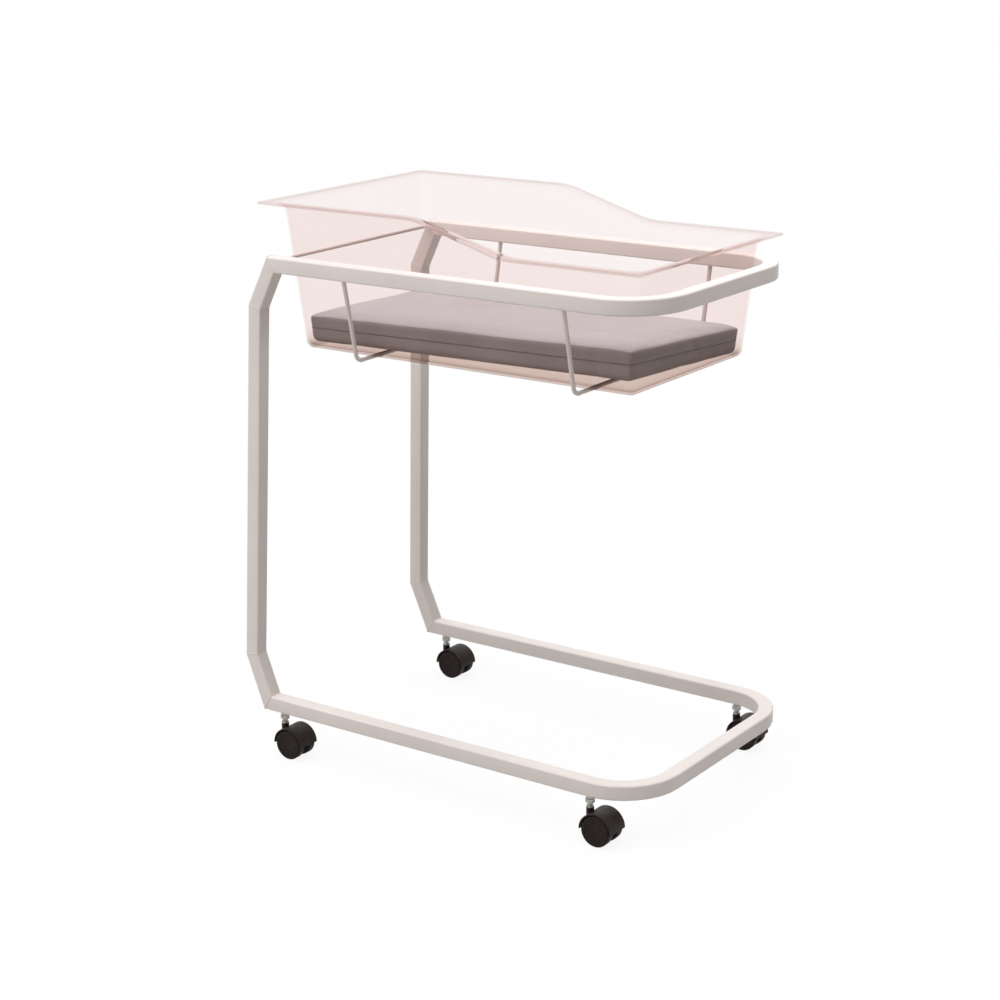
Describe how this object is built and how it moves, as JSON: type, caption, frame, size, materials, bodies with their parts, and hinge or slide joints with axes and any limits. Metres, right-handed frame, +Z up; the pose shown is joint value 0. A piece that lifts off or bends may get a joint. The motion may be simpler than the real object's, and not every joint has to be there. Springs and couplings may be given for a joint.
{
  "type": "hospital bassinet",
  "caption": "Clear moulded newborn tub with a mattress, hung in wire cradles on an open C-shaped frame of square tube that rolls on hooded twin-wheel swivel casters.",
  "frame": {"origin": "on the floor under the middle of the base", "axes": "+X to the rounded foot end, +Y to the left of someone at the head end facing the foot, +Z up"},
  "size_m": [0.78, 0.497, 0.9238],
  "materials": {
    "powder_coat": "satin powder coat",
    "coated_wire": "satin powder coat",
    "clear_sheet": "clear, polished",
    "cover": "matt wipe-clean cover",
    "foam": "open foam",
    "hood": "moulded",
    "wheel": "moulded",
    "zinc_steel": "zinc plated"
  },
  "bodies": {
    "frame": {"upper_rail": "powder_coat", "base_rail": "powder_coat", "base_elbow_right": "powder_coat", "base_elbow_left": "powder_coat", "upright_right": "powder_coat", "upright_left": "powder_coat", "top_elbow_right": "powder_coat", "top_elbow_left": "powder_coat", "head_tie_rod": "coated_wire", "head_cradle_bar": "coated_wire", "head_cradle_arm_right": "coated_wire", "head_cradle_arm_left": "coated_wire", "foot_cradle_bar": "coated_wire", "foot_cradle_arm_right": "coated_wire", "foot_cradle_arm_left": "coated_wire", "caster_bush_head_right": "zinc_steel", "caster_nut_head_right": "zinc_steel", "caster_stem_head_right": "zinc_steel", "caster_bush_head_left": "zinc_steel", "caster_nut_head_left": "zinc_steel", "caster_stem_head_left": "zinc_steel", "caster_bush_foot_right": "zinc_steel", "caster_nut_foot_right": "zinc_steel", "caster_stem_foot_right": "zinc_steel", "caster_bush_foot_left": "zinc_steel", "caster_nut_foot_left": "zinc_steel", "caster_stem_foot_left": "zinc_steel"},
    "tub": {"tub": "clear_sheet"},
    "mattress": {"mattress_cover": "cover", "mattress_core": "foam"},
    "swivel_head_right": {"caster_hood_head_right": "hood", "caster_axle_head_right": "zinc_steel"},
    "wheel_left_head_right": {"wheel_left_head_right": "wheel"},
    "wheel_right_head_right": {"wheel_right_head_right": "wheel"},
    "swivel_head_left": {"caster_hood_head_left": "hood", "caster_axle_head_left": "zinc_steel"},
    "wheel_left_head_left": {"wheel_left_head_left": "wheel"},
    "wheel_right_head_left": {"wheel_right_head_left": "wheel"},
    "swivel_foot_right": {"caster_hood_foot_right": "hood", "caster_axle_foot_right": "zinc_steel"},
    "wheel_left_foot_right": {"wheel_left_foot_right": "wheel"},
    "wheel_right_foot_right": {"wheel_right_foot_right": "wheel"},
    "swivel_foot_left": {"caster_hood_foot_left": "hood", "caster_axle_foot_left": "zinc_steel"},
    "wheel_left_foot_left": {"wheel_left_foot_left": "wheel"},
    "wheel_right_foot_left": {"wheel_right_foot_left": "wheel"}
  },
  "joints": [
    {"name": "tub_lift", "type": "slide", "parent": "frame", "child": "tub", "axis": [0, 0, 1], "range_m": [0, 0.25]},
    {"name": "mattress_lift", "type": "slide", "parent": "tub", "child": "mattress", "axis": [0, 0, 1], "range_m": [0, 0.26]},
    {"name": "head_right_swivel", "type": "hinge", "parent": "frame", "child": "swivel_head_right", "pos_m": [-0.318, -0.2275, 0.0545], "axis": [0, 0, 1], "continuous": true},
    {"name": "head_right_roll_left", "type": "hinge", "parent": "swivel_head_right", "child": "wheel_left_head_right", "pos_m": [-0.297, -0.2275, 0.025], "axis": [0, 1, 0], "continuous": true},
    {"name": "head_right_roll_right", "type": "hinge", "parent": "swivel_head_right", "child": "wheel_right_head_right", "pos_m": [-0.297, -0.2275, 0.025], "axis": [0, 1, 0], "continuous": true},
    {"name": "head_left_swivel", "type": "hinge", "parent": "frame", "child": "swivel_head_left", "pos_m": [-0.318, 0.2275, 0.0545], "axis": [0, 0, 1], "continuous": true},
    {"name": "head_left_roll_left", "type": "hinge", "parent": "swivel_head_left", "child": "wheel_left_head_left", "pos_m": [-0.297, 0.2275, 0.025], "axis": [0, 1, 0], "continuous": true},
    {"name": "head_left_roll_right", "type": "hinge", "parent": "swivel_head_left", "child": "wheel_right_head_left", "pos_m": [-0.297, 0.2275, 0.025], "axis": [0, 1, 0], "continuous": true},
    {"name": "foot_right_swivel", "type": "hinge", "parent": "frame", "child": "swivel_foot_right", "pos_m": [0.288, -0.2275, 0.0545], "axis": [0, 0, 1], "continuous": true},
    {"name": "foot_right_roll_left", "type": "hinge", "parent": "swivel_foot_right", "child": "wheel_left_foot_right", "pos_m": [0.309, -0.2275, 0.025], "axis": [0, 1, 0], "continuous": true},
    {"name": "foot_right_roll_right", "type": "hinge", "parent": "swivel_foot_right", "child": "wheel_right_foot_right", "pos_m": [0.309, -0.2275, 0.025], "axis": [0, 1, 0], "continuous": true},
    {"name": "foot_left_swivel", "type": "hinge", "parent": "frame", "child": "swivel_foot_left", "pos_m": [0.288, 0.2275, 0.0545], "axis": [0, 0, 1], "continuous": true},
    {"name": "foot_left_roll_left", "type": "hinge", "parent": "swivel_foot_left", "child": "wheel_left_foot_left", "pos_m": [0.309, 0.2275, 0.025], "axis": [0, 1, 0], "continuous": true},
    {"name": "foot_left_roll_right", "type": "hinge", "parent": "swivel_foot_left", "child": "wheel_right_foot_left", "pos_m": [0.309, 0.2275, 0.025], "axis": [0, 1, 0], "continuous": true}
  ]
}
